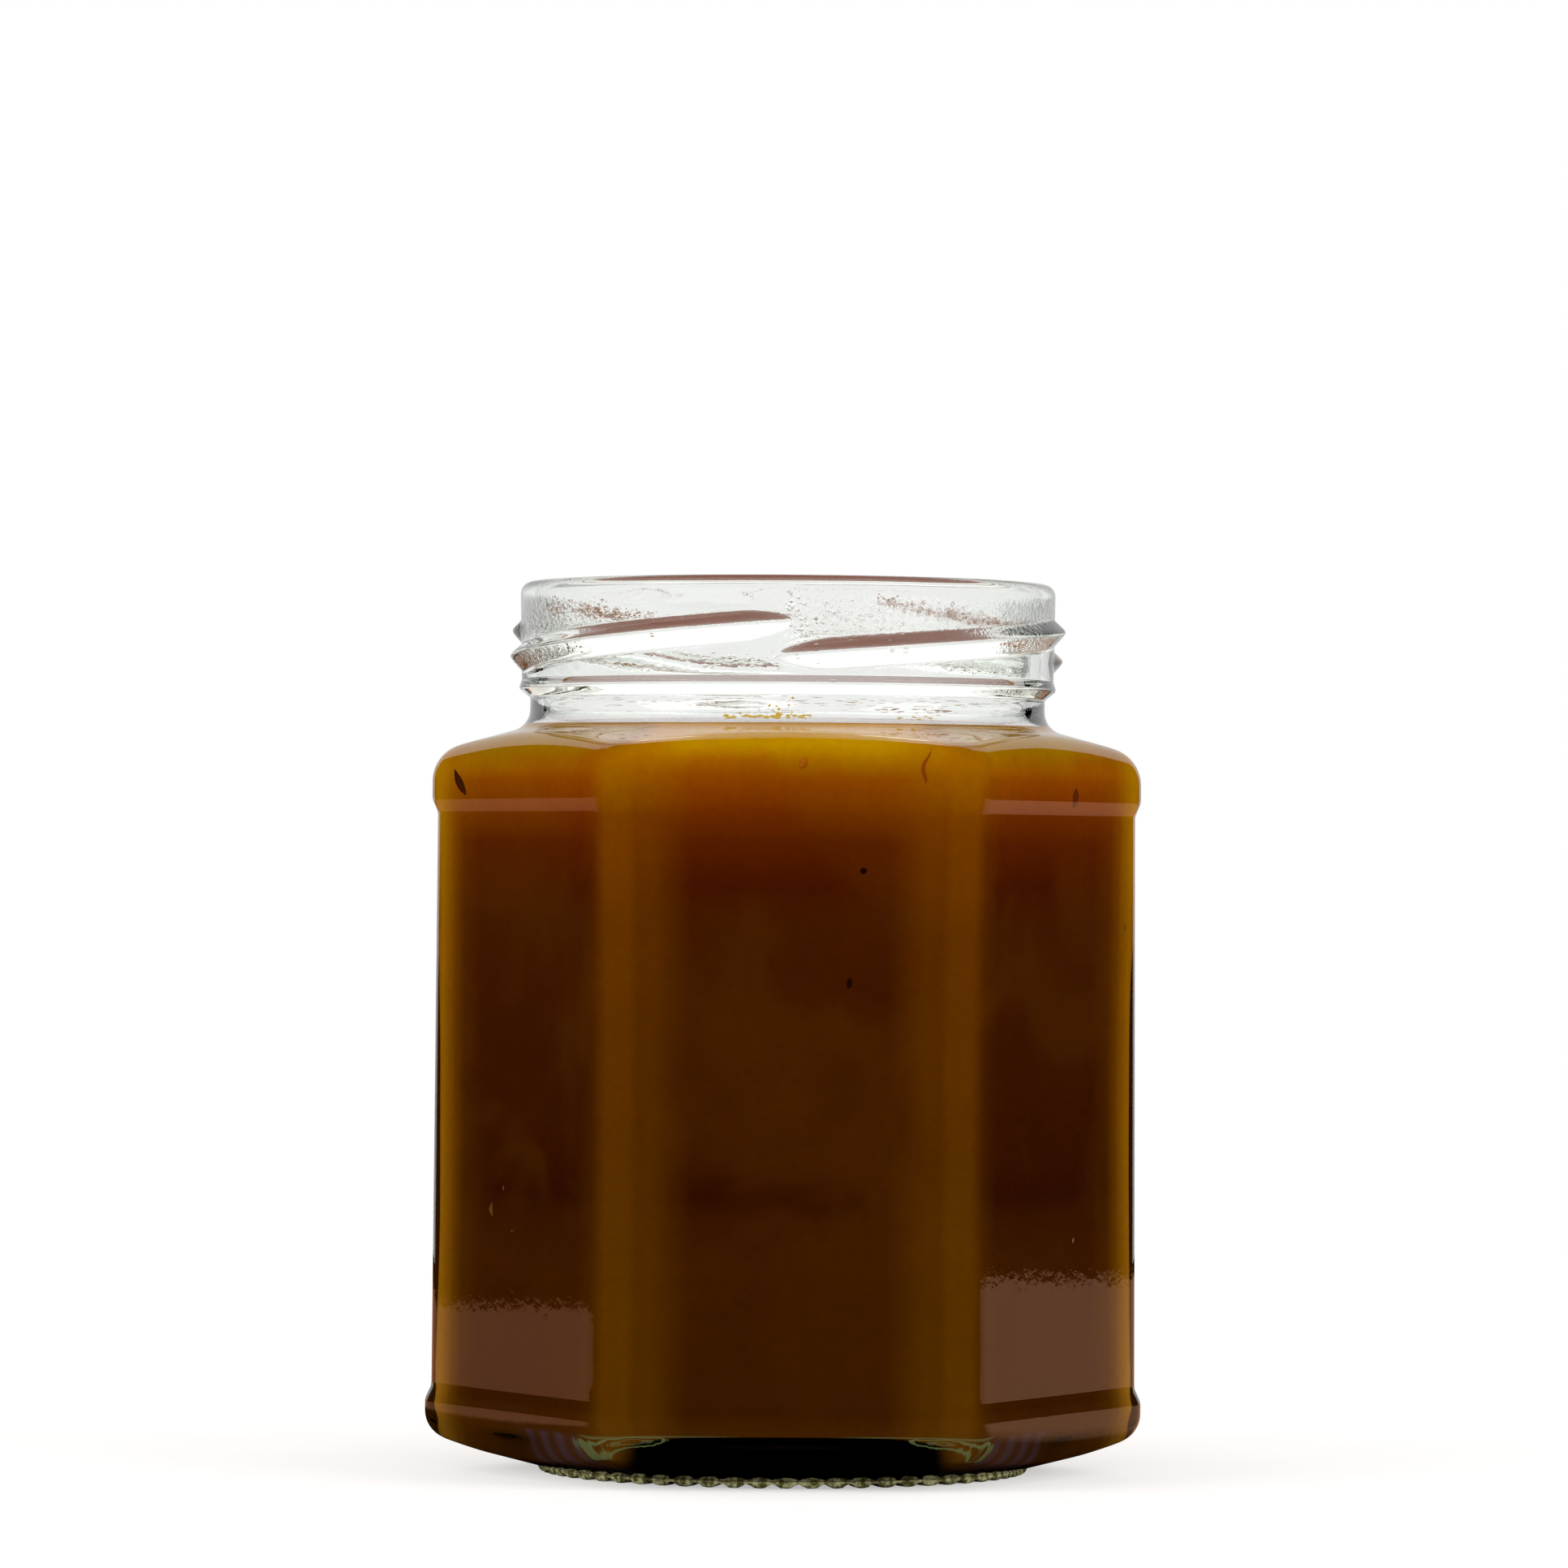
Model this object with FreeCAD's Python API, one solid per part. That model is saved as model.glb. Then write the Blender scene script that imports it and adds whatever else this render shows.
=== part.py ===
import FreeCAD, Part
import math
import os

# Hexagonal food jar with a four-lug twist-off mouth, filled with a thick sauce.
# Millimetres. +Z is up and the origin is the middle of the base, on the surface the
# jar stands on. Flat sides face -Y and +Y, and two corners point along -X and +X.

# ---- overall sizes ----
TOTAL_HEIGHT = 98.3
BODY_APOTHEM = 34.75            # flat-to-centre distance of the upper collar
FINISH_RADIUS = 29.7            # outer radius of the glass mouth at its rim
CORNER_ROUND = 5.1              # upright corners of the hexagon

# ---- mouth, heights counted down from the rim ----
MOUTH_WALL = 2.8
RIM_OUTER_ROUND = 1.25
RIM_INNER_ROUND = 1.0
THREAD_WALL_INSET = 0.2
BEAD_PROUD = 0.05
BEAD_HEIGHT = 0.3
BEAD_LOWER_RISE = 0.95          # height of the bead's lower flank
BEAD_UPPER_RISE = 0.75          # and of its flatter upper flank
BEAD_ROUND = 0.4
NECK_INSET = 1.15
NECK_TOP_BELOW_RIM = 12.8
NECK_FILLET = 2.5

# ---- thread lugs ----
LUG_COUNT = 4
LUG_SPAN_DEG = 95.0
LUG_FIRST_START_DEG = -93.3
LUG_START_BELOW_RIM = 8.7       # height of the ridge line where it starts
LUG_RISE = 3.8
LUG_PROTRUSION = 1.5
LUG_UPPER_HEIGHT = 1.55         # from the ridge line up to the wall
LUG_LOWER_HEIGHT = 1.85
LUG_NOSE_HALF_HEIGHT = 0.35
LUG_NOSE_DEPTH = 0.25
LUG_FADE_DEG = 13.0
LUG_END_SCALE = 0.04            # height of the ridge where it starts, as a share
LUG_END_WIDTH = 0.4             # width of the ridge where it starts, as a share
LUG_STATIONS = 17
LUG_ROOT_DEPTH = 0.5

# ---- shoulder, a cone that meets the flat sides ----
SHOULDER_SLOPE_DEG = 15.2
SHOULDER_BELOW_RIM = 16.65      # where the cone passes the reference radius
SHOULDER_LEDGE = 1.3            # reference radius beyond the mouth's radius
SHOULDER_ROUND = 4.2

# ---- label panel between the two collars ----
PANEL_TOP_RECESS = 0.55
PANEL_BOTTOM_RECESS = 0.3
BASE_COLLAR_PROUD = 0.3
COLLAR_CORNER_HEIGHT = 5.18     # at an upright corner, from the shoulder to the step
STEP_HEIGHT = 1.5
BASE_CORNER_HEIGHT = 4.7        # at an upright corner, from the heel to the step
STEP_ROUND = 1.6

# ---- base ----
HEEL_SLOPE_DEG = 14.6
HEEL_ROUND = 3.2
RING_OUTER_RADIUS = 27.2
RING_WIDTH = 3.0
RING_HEIGHT = 0.75
RING_FLARE = 0.25
RING_EDGE_ROUND = 0.45
PUNT_EDGE_Z = 1.3
PUNT_HEIGHT = 2.3
PUNT_RADIUS = 14.0
KNURL_COUNT = 60
KNURL_DEPTH = 0.5
KNURL_LAND = 0.4                # flat left under each lobe, at the ring's middle
KNURL_VALLEY = 0.6              # width of the groove between two lobes, at its top
KNURL_VALLEY_CROWN = 0.06
KNURL_LOBE_BULGE = 0.08
KNURL_OVERRUN = 1.6

# ---- inside of the glass ----
WALL_BOTTOM = 2.0               # wall of the flat sides at the floor
WALL_MIDDLE = 2.6               # at half height, where blown glass stays thick
WALL_TOP = 1.6                  # and under the shoulder, where it is thinnest
SHOULDER_WALL = 1.5
INNER_CORNER_ROUND = 3.4
BASE_WALL = 1.91                # under the inside's corners, straight down to the heel
FLOOR_CROWN = 0.8
FLOOR_ROUND = 3.0
INNER_SHOULDER_ROUND = 2.6
BORE_FLARE_ROUND = 5.2

# ---- contents ----
FILL_ABOVE_SHOULDER = 0.35      # fill line above the shoulder's reference height

# ---- working margins of the modelling ----
SECTION_MARGIN = 4.0
OVERRUN = 5.0
SIDES = 6
SIDE_TURN_DEG = 360.0 / SIDES
ON_SLOPE = 0.3                  # how near an edge lies to the slope it belongs to
LEVEL = 0.05                    # how flat an edge is that counts as level

# ---- sizes that follow ----
BORE_RADIUS = FINISH_RADIUS - MOUTH_WALL
THREAD_WALL_RADIUS = FINISH_RADIUS - THREAD_WALL_INSET
NECK_RADIUS = FINISH_RADIUS - NECK_INSET
BEAD_RADIUS = FINISH_RADIUS + BEAD_PROUD
SHOULDER_RADIUS = FINISH_RADIUS + SHOULDER_LEDGE
SHOULDER_Z = TOTAL_HEIGHT - SHOULDER_BELOW_RIM
PANEL_TOP_APOTHEM = BODY_APOTHEM - PANEL_TOP_RECESS
PANEL_BOTTOM_APOTHEM = BODY_APOTHEM - PANEL_BOTTOM_RECESS
BASE_COLLAR_APOTHEM = BODY_APOTHEM + BASE_COLLAR_PROUD
INNER_BOTTOM_APOTHEM = PANEL_BOTTOM_APOTHEM - WALL_BOTTOM
RING_INNER_RADIUS = RING_OUTER_RADIUS - RING_WIDTH
FILL_Z = SHOULDER_Z + FILL_ABOVE_SHOULDER


def heel_z(radius):
    """Height of the sloping heel at a distance from the axis."""
    rise = (radius - RING_OUTER_RADIUS) * math.tan(math.radians(HEEL_SLOPE_DEG))
    return RING_HEIGHT + rise


def shoulder_z(radius, drop=0.0):
    """Height of the sloping shoulder, or of a slope that lies lower by drop."""
    fall = (radius - SHOULDER_RADIUS) * math.tan(math.radians(SHOULDER_SLOPE_DEG))
    return SHOULDER_Z - fall - drop


def corner_radius(apothem, corner_round):
    """Distance from the axis to the outside of a rounded upright corner."""
    to_centre = (apothem - corner_round) / math.cos(math.radians(SIDE_TURN_DEG / 2))
    return to_centre + corner_round


# The steps and the floor keep their distance from the slopes that they lie near.
COLLAR_STEP_TOP_Z = shoulder_z(corner_radius(BODY_APOTHEM, CORNER_ROUND)) - COLLAR_CORNER_HEIGHT
COLLAR_STEP_BOTTOM_Z = COLLAR_STEP_TOP_Z - STEP_HEIGHT
BASE_STEP_BOTTOM_Z = heel_z(corner_radius(BASE_COLLAR_APOTHEM, CORNER_ROUND)) + BASE_CORNER_HEIGHT
BASE_STEP_TOP_Z = BASE_STEP_BOTTOM_Z + STEP_HEIGHT
FLOOR_Z = heel_z(corner_radius(INNER_BOTTOM_APOTHEM, INNER_CORNER_ROUND)) + BASE_WALL


def at(radius, bearing_deg, z):
    """The point at a distance from the axis, a bearing from +X and a height."""
    bearing = math.radians(bearing_deg)
    return FreeCAD.Vector(radius * math.cos(bearing), radius * math.sin(bearing), z)


def rounded_outline(corners, place):
    """A closed wire through (u, v, fillet) corners, each fillet a tangent arc."""
    count = len(corners)
    points = [FreeCAD.Vector(u, v, 0) for u, v, _ in corners]
    ends = []
    edges = []
    for i, (_, _, fillet) in enumerate(corners):
        here = points[i]
        if fillet == 0:
            ends.append((here, here))
            continue
        back = (points[i - 1] - here).normalize()
        ahead = (points[(i + 1) % count] - here).normalize()
        half_angle = back.getAngle(ahead) / 2
        reach = fillet / math.tan(half_angle)
        middle = (back + ahead).normalize()
        top = here + middle * (fillet / math.sin(half_angle) - fillet)
        first = here + back * reach
        last = here + ahead * reach
        ends.append((first, last))
        edges.append(Part.Arc(place(first), place(top), place(last)).toShape())
    for i in range(count):
        edges.append(Part.makeLine(place(ends[i][1]), place(ends[(i + 1) % count][0])))
    return Part.Wire(Part.__sortEdges__(edges))


def turned(corners):
    """A solid turned about the Z axis from (radius, z, fillet) corners."""
    wire = rounded_outline(corners, lambda p: FreeCAD.Vector(p.x, 0, p.y))
    return Part.Face(wire).revolve(FreeCAD.Vector(0, 0, 0), FreeCAD.Vector(0, 0, 1), 360)


def hexagon(apothem, corner_round, z):
    """A hexagon with rounded corners, two of them on the X axis."""
    circumradius = apothem / math.cos(math.radians(SIDE_TURN_DEG / 2))
    tips = [at(circumradius, SIDE_TURN_DEG * i, z) for i in range(SIDES)]
    corners = [(tip.x, tip.y, corner_round) for tip in tips]
    return rounded_outline(corners, lambda p: FreeCAD.Vector(p.x, p.y, z))


def edges_on_slope(shape, slope_z, beyond):
    """Edges that lie on a sloping surface of revolution, beyond a radius."""
    found = []
    for edge in shape.Edges:
        samples = edge.discretize(5)
        radii = [math.hypot(p.x, p.y) for p in samples]
        gaps = [abs(p.z - slope_z(r)) for p, r in zip(samples, radii)]
        if min(radii) > beyond and max(gaps) < ON_SLOPE:
            found.append(edge)
    return found


def level_edges(shape, levels, beyond):
    """Edges that lie level at one of the given heights, beyond a radius."""
    found = []
    for edge in shape.Edges:
        samples = edge.discretize(5)
        heights = [p.z for p in samples]
        radii = [math.hypot(p.x, p.y) for p in samples]
        level = max(heights) - min(heights) < LEVEL
        near = any(abs(heights[0] - z) < LEVEL for z in levels)
        if level and near and min(radii) > beyond:
            found.append(edge)
    return found


def outer_prism():
    """Six flat sides: upper collar, label panel with draft, and base collar."""
    steps = [BASE_STEP_BOTTOM_Z, BASE_STEP_TOP_Z, COLLAR_STEP_BOTTOM_Z, COLLAR_STEP_TOP_Z]
    sections = [
        (BASE_COLLAR_APOTHEM, -SECTION_MARGIN),
        (BASE_COLLAR_APOTHEM, BASE_STEP_BOTTOM_Z),
        (PANEL_BOTTOM_APOTHEM, BASE_STEP_TOP_Z),
        (PANEL_TOP_APOTHEM, COLLAR_STEP_BOTTOM_Z),
        (BODY_APOTHEM, COLLAR_STEP_TOP_Z),
        (BODY_APOTHEM, SHOULDER_Z + SECTION_MARGIN),
    ]
    wires = [hexagon(apothem, CORNER_ROUND, z) for apothem, z in sections]
    prism = Part.makeLoft(wires, True, True)
    return prism.makeFillet(STEP_ROUND, level_edges(prism, steps, FINISH_RADIUS))


def outer_turning():
    """Mouth, neck, shoulder slope, heel slope, bearing ring and punt, all turned."""
    far = BODY_APOTHEM + 2 * SECTION_MARGIN
    neck_top = TOTAL_HEIGHT - NECK_TOP_BELOW_RIM
    bead_bottom = neck_top + BEAD_LOWER_RISE
    bead_top = bead_bottom + BEAD_HEIGHT
    return turned([
        (0, PUNT_HEIGHT, 0),
        (PUNT_RADIUS, PUNT_HEIGHT, PUNT_RADIUS),
        (RING_INNER_RADIUS, PUNT_EDGE_Z, RING_EDGE_ROUND),
        (RING_INNER_RADIUS + RING_FLARE, 0, RING_EDGE_ROUND),
        (RING_OUTER_RADIUS - RING_FLARE, 0, RING_EDGE_ROUND),
        (RING_OUTER_RADIUS, RING_HEIGHT, 0),
        (far, heel_z(far), 0),
        (far, shoulder_z(far), 0),
        (NECK_RADIUS, shoulder_z(NECK_RADIUS), NECK_FILLET),
        (NECK_RADIUS, neck_top, BEAD_ROUND),
        (BEAD_RADIUS, bead_bottom, BEAD_ROUND),
        (BEAD_RADIUS, bead_top, BEAD_ROUND),
        (THREAD_WALL_RADIUS, bead_top + BEAD_UPPER_RISE, BEAD_ROUND),
        (FINISH_RADIUS, TOTAL_HEIGHT, RIM_OUTER_ROUND),
        (0, TOTAL_HEIGHT, 0),
    ])


def knurl_profile(bearing):
    """Outline of one groove under the ring: two lobes' round flanks and a crowned top."""
    radius = RING_INNER_RADIUS - KNURL_OVERRUN
    half_pitch = math.pi * (RING_OUTER_RADIUS - RING_WIDTH / 2) / KNURL_COUNT
    foot = half_pitch - KNURL_LAND / 2
    top = KNURL_VALLEY / 2
    flank = math.hypot(foot - top, KNURL_DEPTH)
    bulge_across = KNURL_DEPTH / flank * KNURL_LOBE_BULGE
    bulge_down = (foot - top) / flank * KNURL_LOBE_BULGE
    across = at(1.0, bearing + 90, 0)
    here = at(radius, bearing, 0)

    def spot(u, z):
        return here + across * u + FreeCAD.Vector(0, 0, z)

    def lobe(side):
        middle = spot(side * ((foot + top) / 2 - bulge_across), KNURL_DEPTH / 2 - bulge_down)
        return Part.Arc(spot(side * foot, 0), middle, spot(side * top, KNURL_DEPTH)).toShape()

    crown = spot(0, KNURL_DEPTH + KNURL_VALLEY_CROWN)
    return Part.Wire(Part.__sortEdges__([
        lobe(-1),
        Part.Arc(spot(-top, KNURL_DEPTH), crown, spot(top, KNURL_DEPTH)).toShape(),
        lobe(1),
        Part.makeLine(spot(foot, 0), spot(foot, -KNURL_OVERRUN)),
        Part.makeLine(spot(foot, -KNURL_OVERRUN), spot(-foot, -KNURL_OVERRUN)),
        Part.makeLine(spot(-foot, -KNURL_OVERRUN), spot(-foot, 0)),
    ]))


def knurl_cutters():
    """Short grooves that leave the bearing ring standing on a row of rounded lobes."""
    length = RING_WIDTH + 2 * KNURL_OVERRUN
    pitch_deg = 360.0 / KNURL_COUNT
    cutters = []
    for i in range(KNURL_COUNT):
        bearing = pitch_deg * (i + 0.5)
        cutters.append(Part.Face(knurl_profile(bearing)).extrude(at(length, bearing, 0)))
    return cutters


def lug_section(bearing, z, swell):
    """A rounded triangle that stands out of the mouth's wall by a share of its height."""
    root = THREAD_WALL_RADIUS - LUG_ROOT_DEPTH
    tip = THREAD_WALL_RADIUS + LUG_PROTRUSION * swell
    flank_end = tip - LUG_NOSE_DEPTH * swell
    width = LUG_END_WIDTH + (1 - LUG_END_WIDTH) * swell
    nose = LUG_NOSE_HALF_HEIGHT * width
    low = at(root, bearing, z - LUG_LOWER_HEIGHT * width)
    high = at(root, bearing, z + LUG_UPPER_HEIGHT * width)
    nose_low = at(flank_end, bearing, z - nose)
    nose_high = at(flank_end, bearing, z + nose)
    return Part.Wire([
        Part.makeLine(low, nose_low),
        Part.Arc(nose_low, at(tip, bearing, z), nose_high).toShape(),
        Part.makeLine(nose_high, high),
        Part.makeLine(high, low),
    ])


def thread_lug(start_deg):
    """One lug, climbing to the right and fading out at both ends."""
    start_z = TOTAL_HEIGHT - LUG_START_BELOW_RIM
    sections = []
    for i in range(LUG_STATIONS):
        along = i / (LUG_STATIONS - 1)
        from_end = min(along, 1 - along) * LUG_SPAN_DEG
        fade = math.sin(min(1.0, from_end / LUG_FADE_DEG) * math.pi / 2)
        swell = LUG_END_SCALE + (1 - LUG_END_SCALE) * fade
        bearing = start_deg + along * LUG_SPAN_DEG
        sections.append(lug_section(bearing, start_z + along * LUG_RISE, swell))
    return Part.makeLoft(sections, True, False)


def inside_space():
    """Everything inside the glass, from the floor up through the open mouth."""
    mid_z = (FLOOR_Z + SHOULDER_Z) / 2
    drop = SHOULDER_WALL / math.cos(math.radians(SHOULDER_SLOPE_DEG))
    above = TOTAL_HEIGHT + OVERRUN
    sections = [
        (INNER_BOTTOM_APOTHEM, 0.0),
        (PANEL_TOP_APOTHEM - WALL_MIDDLE, mid_z),
        (BODY_APOTHEM - WALL_TOP, SHOULDER_Z + SECTION_MARGIN),
    ]
    wires = [hexagon(apothem, INNER_CORNER_ROUND, z) for apothem, z in sections]
    prism = Part.makeLoft(wires, True, False)
    bore = Part.makeCylinder(BORE_RADIUS, above - mid_z, FreeCAD.Vector(0, 0, mid_z))
    far = BODY_APOTHEM + 2 * SECTION_MARGIN
    turning = turned([
        (0, FLOOR_Z + FLOOR_CROWN, 0),
        (PUNT_RADIUS, FLOOR_Z + FLOOR_CROWN, PUNT_RADIUS),
        (RING_OUTER_RADIUS, FLOOR_Z, RING_OUTER_RADIUS),
        (far, FLOOR_Z, 0),
        (far, shoulder_z(far, drop), 0),
        (BORE_RADIUS, shoulder_z(BORE_RADIUS, drop), BORE_FLARE_ROUND),
        (BORE_RADIUS, above, 0),
        (0, above, 0),
    ])
    space = prism.fuse(bore).common(turning)
    shoulder = edges_on_slope(space, lambda r: shoulder_z(r, drop), FINISH_RADIUS)
    space = space.makeFillet(INNER_SHOULDER_ROUND, shoulder)
    floor = level_edges(space, [FLOOR_Z], FINISH_RADIUS)
    return space.makeFillet(FLOOR_ROUND, floor)


def glass_jar(space):
    """The whole glass container as one solid."""
    mouth = Part.makeCylinder(FINISH_RADIUS + SHOULDER_LEDGE, TOTAL_HEIGHT)
    body = outer_prism().fuse(mouth).common(outer_turning()).removeSplitter()
    shoulder = edges_on_slope(body, shoulder_z, SHOULDER_RADIUS + SHOULDER_LEDGE)
    body = body.makeFillet(SHOULDER_ROUND, shoulder)
    heel = edges_on_slope(body, heel_z, RING_OUTER_RADIUS + SECTION_MARGIN)
    body = body.makeFillet(HEEL_ROUND, heel)
    pitch_deg = 360.0 / LUG_COUNT
    lugs = [thread_lug(LUG_FIRST_START_DEG + pitch_deg * i) for i in range(LUG_COUNT)]
    body = body.fuse(lugs).cut(knurl_cutters()).cut(space)
    lip = [edge for edge in level_edges(body, [TOTAL_HEIGHT], 0)
           if math.isclose(edge.Curve.Radius, BORE_RADIUS, abs_tol=LEVEL)]
    return body.makeFillet(RIM_INNER_ROUND, lip)


def sauce(space):
    """The contents: the inside space up to the fill line, wetting the glass."""
    below = Part.makeCylinder(BODY_APOTHEM + 2 * SECTION_MARGIN, FILL_Z)
    return space.common(below)


def main():
    os.makedirs("parts", exist_ok=True)
    space = inside_space()
    nodes = {"glass_jar": glass_jar(space), "sauce": sauce(space)}
    for name, shape in nodes.items():
        solid = shape.Solids[0]
        print(name, len(shape.Solids), "solid, valid", solid.isValid(),
              "volume", round(solid.Volume / 1000, 2), "cm3")
        solid.exportStep("parts/%s.step" % name)


main()
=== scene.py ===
import math
import random

import bpy
import numpy as np
from mathutils import Matrix, Vector
from mathutils.bvhtree import BVHTree


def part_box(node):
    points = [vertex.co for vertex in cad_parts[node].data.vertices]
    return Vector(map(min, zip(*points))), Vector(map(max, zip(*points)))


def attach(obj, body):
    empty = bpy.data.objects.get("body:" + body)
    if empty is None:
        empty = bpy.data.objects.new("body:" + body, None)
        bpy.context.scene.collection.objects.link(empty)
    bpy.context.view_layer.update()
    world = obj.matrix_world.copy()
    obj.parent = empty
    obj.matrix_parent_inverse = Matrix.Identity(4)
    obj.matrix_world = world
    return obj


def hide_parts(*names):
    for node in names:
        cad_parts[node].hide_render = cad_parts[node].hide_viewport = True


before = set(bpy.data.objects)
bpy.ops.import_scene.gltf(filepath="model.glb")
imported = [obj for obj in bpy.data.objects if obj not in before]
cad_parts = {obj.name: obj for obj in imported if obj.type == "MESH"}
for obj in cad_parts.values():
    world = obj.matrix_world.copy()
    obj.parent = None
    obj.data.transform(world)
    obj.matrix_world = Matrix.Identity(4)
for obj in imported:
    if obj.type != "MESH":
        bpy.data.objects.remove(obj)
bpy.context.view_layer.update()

# The jar's shape is worked out in millimetres about its axis and put down in metres.
MM = 0.001
jar_low, jar_high = (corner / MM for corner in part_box("glass_jar"))
sauce_low, sauce_high = (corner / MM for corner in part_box("sauce"))

# ---- sizes from the frame ----
TOTAL_HEIGHT = jar_high.z
BASE_COLLAR_APOTHEM = jar_high.y
FILL_Z = sauce_high.z
FLOOR_Z = sauce_low.z

# ---- the jar's own sizes, as its solid has them, but for the base step ----
BODY_APOTHEM = BASE_COLLAR_APOTHEM - 0.3
PANEL_TOP_APOTHEM = BODY_APOTHEM - 0.55
PANEL_BOTTOM_APOTHEM = BODY_APOTHEM - 0.3
CORNER_ROUND = 5.1
FINISH_RADIUS = 29.7
BORE_RADIUS = 26.9
THREAD_WALL_RADIUS = 29.5
BEAD_RADIUS = 29.75
NECK_RADIUS = 28.55
NECK_TOP_Z = TOTAL_HEIGHT - 12.8
BEAD_BOTTOM_Z = NECK_TOP_Z + 0.95
BEAD_TOP_Z = BEAD_BOTTOM_Z + 0.3
BEAD_END_Z = BEAD_TOP_Z + 0.75
SHOULDER_RADIUS = 31.0
SHOULDER_Z = TOTAL_HEIGHT - 16.65
SHOULDER_SLOPE = math.tan(math.radians(15.2))
COLLAR_STEP_TOP_Z = SHOULDER_Z - 7.45
COLLAR_STEP_BOTTOM_Z = COLLAR_STEP_TOP_Z - 1.5
BASE_STEP_BOTTOM_Z = 7.8  # 8.7 in the solid; the photograph shows it lower
BASE_STEP_TOP_Z = BASE_STEP_BOTTOM_Z + 1.5
HEEL_SLOPE = math.tan(math.radians(14.6))
RING_OUTER_RADIUS = 27.2
RING_INNER_RADIUS = 24.2
RING_HEIGHT = 0.75
RING_FLARE = 0.25
PUNT_EDGE_Z = 1.3
PUNT_HEIGHT = 2.3
PUNT_RADIUS = 14.0
KNURLS = 60
KNURL_DEPTH = 0.5
KNURL_LAND = 0.3
KNURL_LOBE_RADIUS = 1.1
KNURL_LOBE_REACH = math.sqrt(
    KNURL_LOBE_RADIUS ** 2 - (KNURL_LOBE_RADIUS - KNURL_DEPTH) ** 2)
RING_MIDDLE = (RING_OUTER_RADIUS + RING_INNER_RADIUS) / 2
PUNT_ROUND = 14.0
RING_ROUND = 0.45
RING_TOP_ROUND = 0.12
HEEL_ROUND = 3.2
STEP_ROUND = 1.6
SHOULDER_ROUND = 4.2
NECK_FOOT_ROUND = 2.5
BEAD_ROUND = 0.4
RIM_OUTER_ROUND = 1.25
RIM_INNER_ROUND = 1.0

# ---- the hollow ----
WALL_BOTTOM = 2.0
WALL_MIDDLE = 2.6
WALL_TOP = 1.6
SHOULDER_WALL = 1.5
INNER_CORNER_ROUND = 3.4
INNER_SECTIONS = (
    (0.0, PANEL_BOTTOM_APOTHEM - WALL_BOTTOM),
    ((FLOOR_Z + SHOULDER_Z) / 2, PANEL_TOP_APOTHEM - WALL_MIDDLE),
    (SHOULDER_Z + 4.0, BODY_APOTHEM - WALL_TOP),
)
INNER_SHOULDER_DROP = SHOULDER_WALL / math.cos(math.atan(SHOULDER_SLOPE))
BORE_FLARE_ROUND = 5.2
INNER_SHOULDER_ROUND = 2.6
FLOOR_ROUND = 3.0
FLOOR_EDGE_ROUND = 27.0
FLOOR_CROWN = 0.8
RIPPLE = 0.05

# ---- thread lugs ----
LUGS = 4
LUG_SPAN_DEG = 95.0
LUG_FIRST_DEG = -93.3
LUG_START_Z = TOTAL_HEIGHT - 8.9
LUG_RISE = 3.8
LUG_HEIGHT = 1.5
LUG_RIDGE_ABOVE = 0.2
LUG_UPPER = 1.5
LUG_LOWER = 1.85
LUG_NOSE = 0.17
LUG_FADE_DEG = 13.0
LUG_END_SHARE = 0.3
LUG_EDGE_BLEND = 0.06

SIDES = 6
SIDE_DEG = 360.0 / SIDES
CORNER_SHARE_DEG = 11.0


# ================= shape =================

def hexagon_radius(bearing_deg, apothem, corner_round):
    """Distance from the axis to a rounded hexagon whose corners lie on multiples of 60 degrees."""
    from_corner = abs((bearing_deg + SIDE_DEG / 2) % SIDE_DEG - SIDE_DEG / 2)
    from_flat = math.radians(SIDE_DEG / 2 - from_corner)
    delta = math.radians(from_corner)
    centre = (apothem - corner_round) / math.cos(math.radians(SIDE_DEG / 2))
    flat_end = math.atan2(centre * math.sin(math.radians(SIDE_DEG / 2)), apothem)
    if from_flat <= flat_end:
        return apothem / math.cos(from_flat)
    across = centre * math.sin(delta)
    return centre * math.cos(delta) + math.sqrt(corner_round ** 2 - across ** 2)


def heel_z(radius):
    """Height of the conical heel."""
    return RING_HEIGHT + (radius - RING_OUTER_RADIUS) * HEEL_SLOPE


def shoulder_z(radius, drop=0.0):
    """Height of the conical shoulder, or of the same cone moved down."""
    return SHOULDER_Z - (radius - SHOULDER_RADIUS) * SHOULDER_SLOPE - drop


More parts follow.
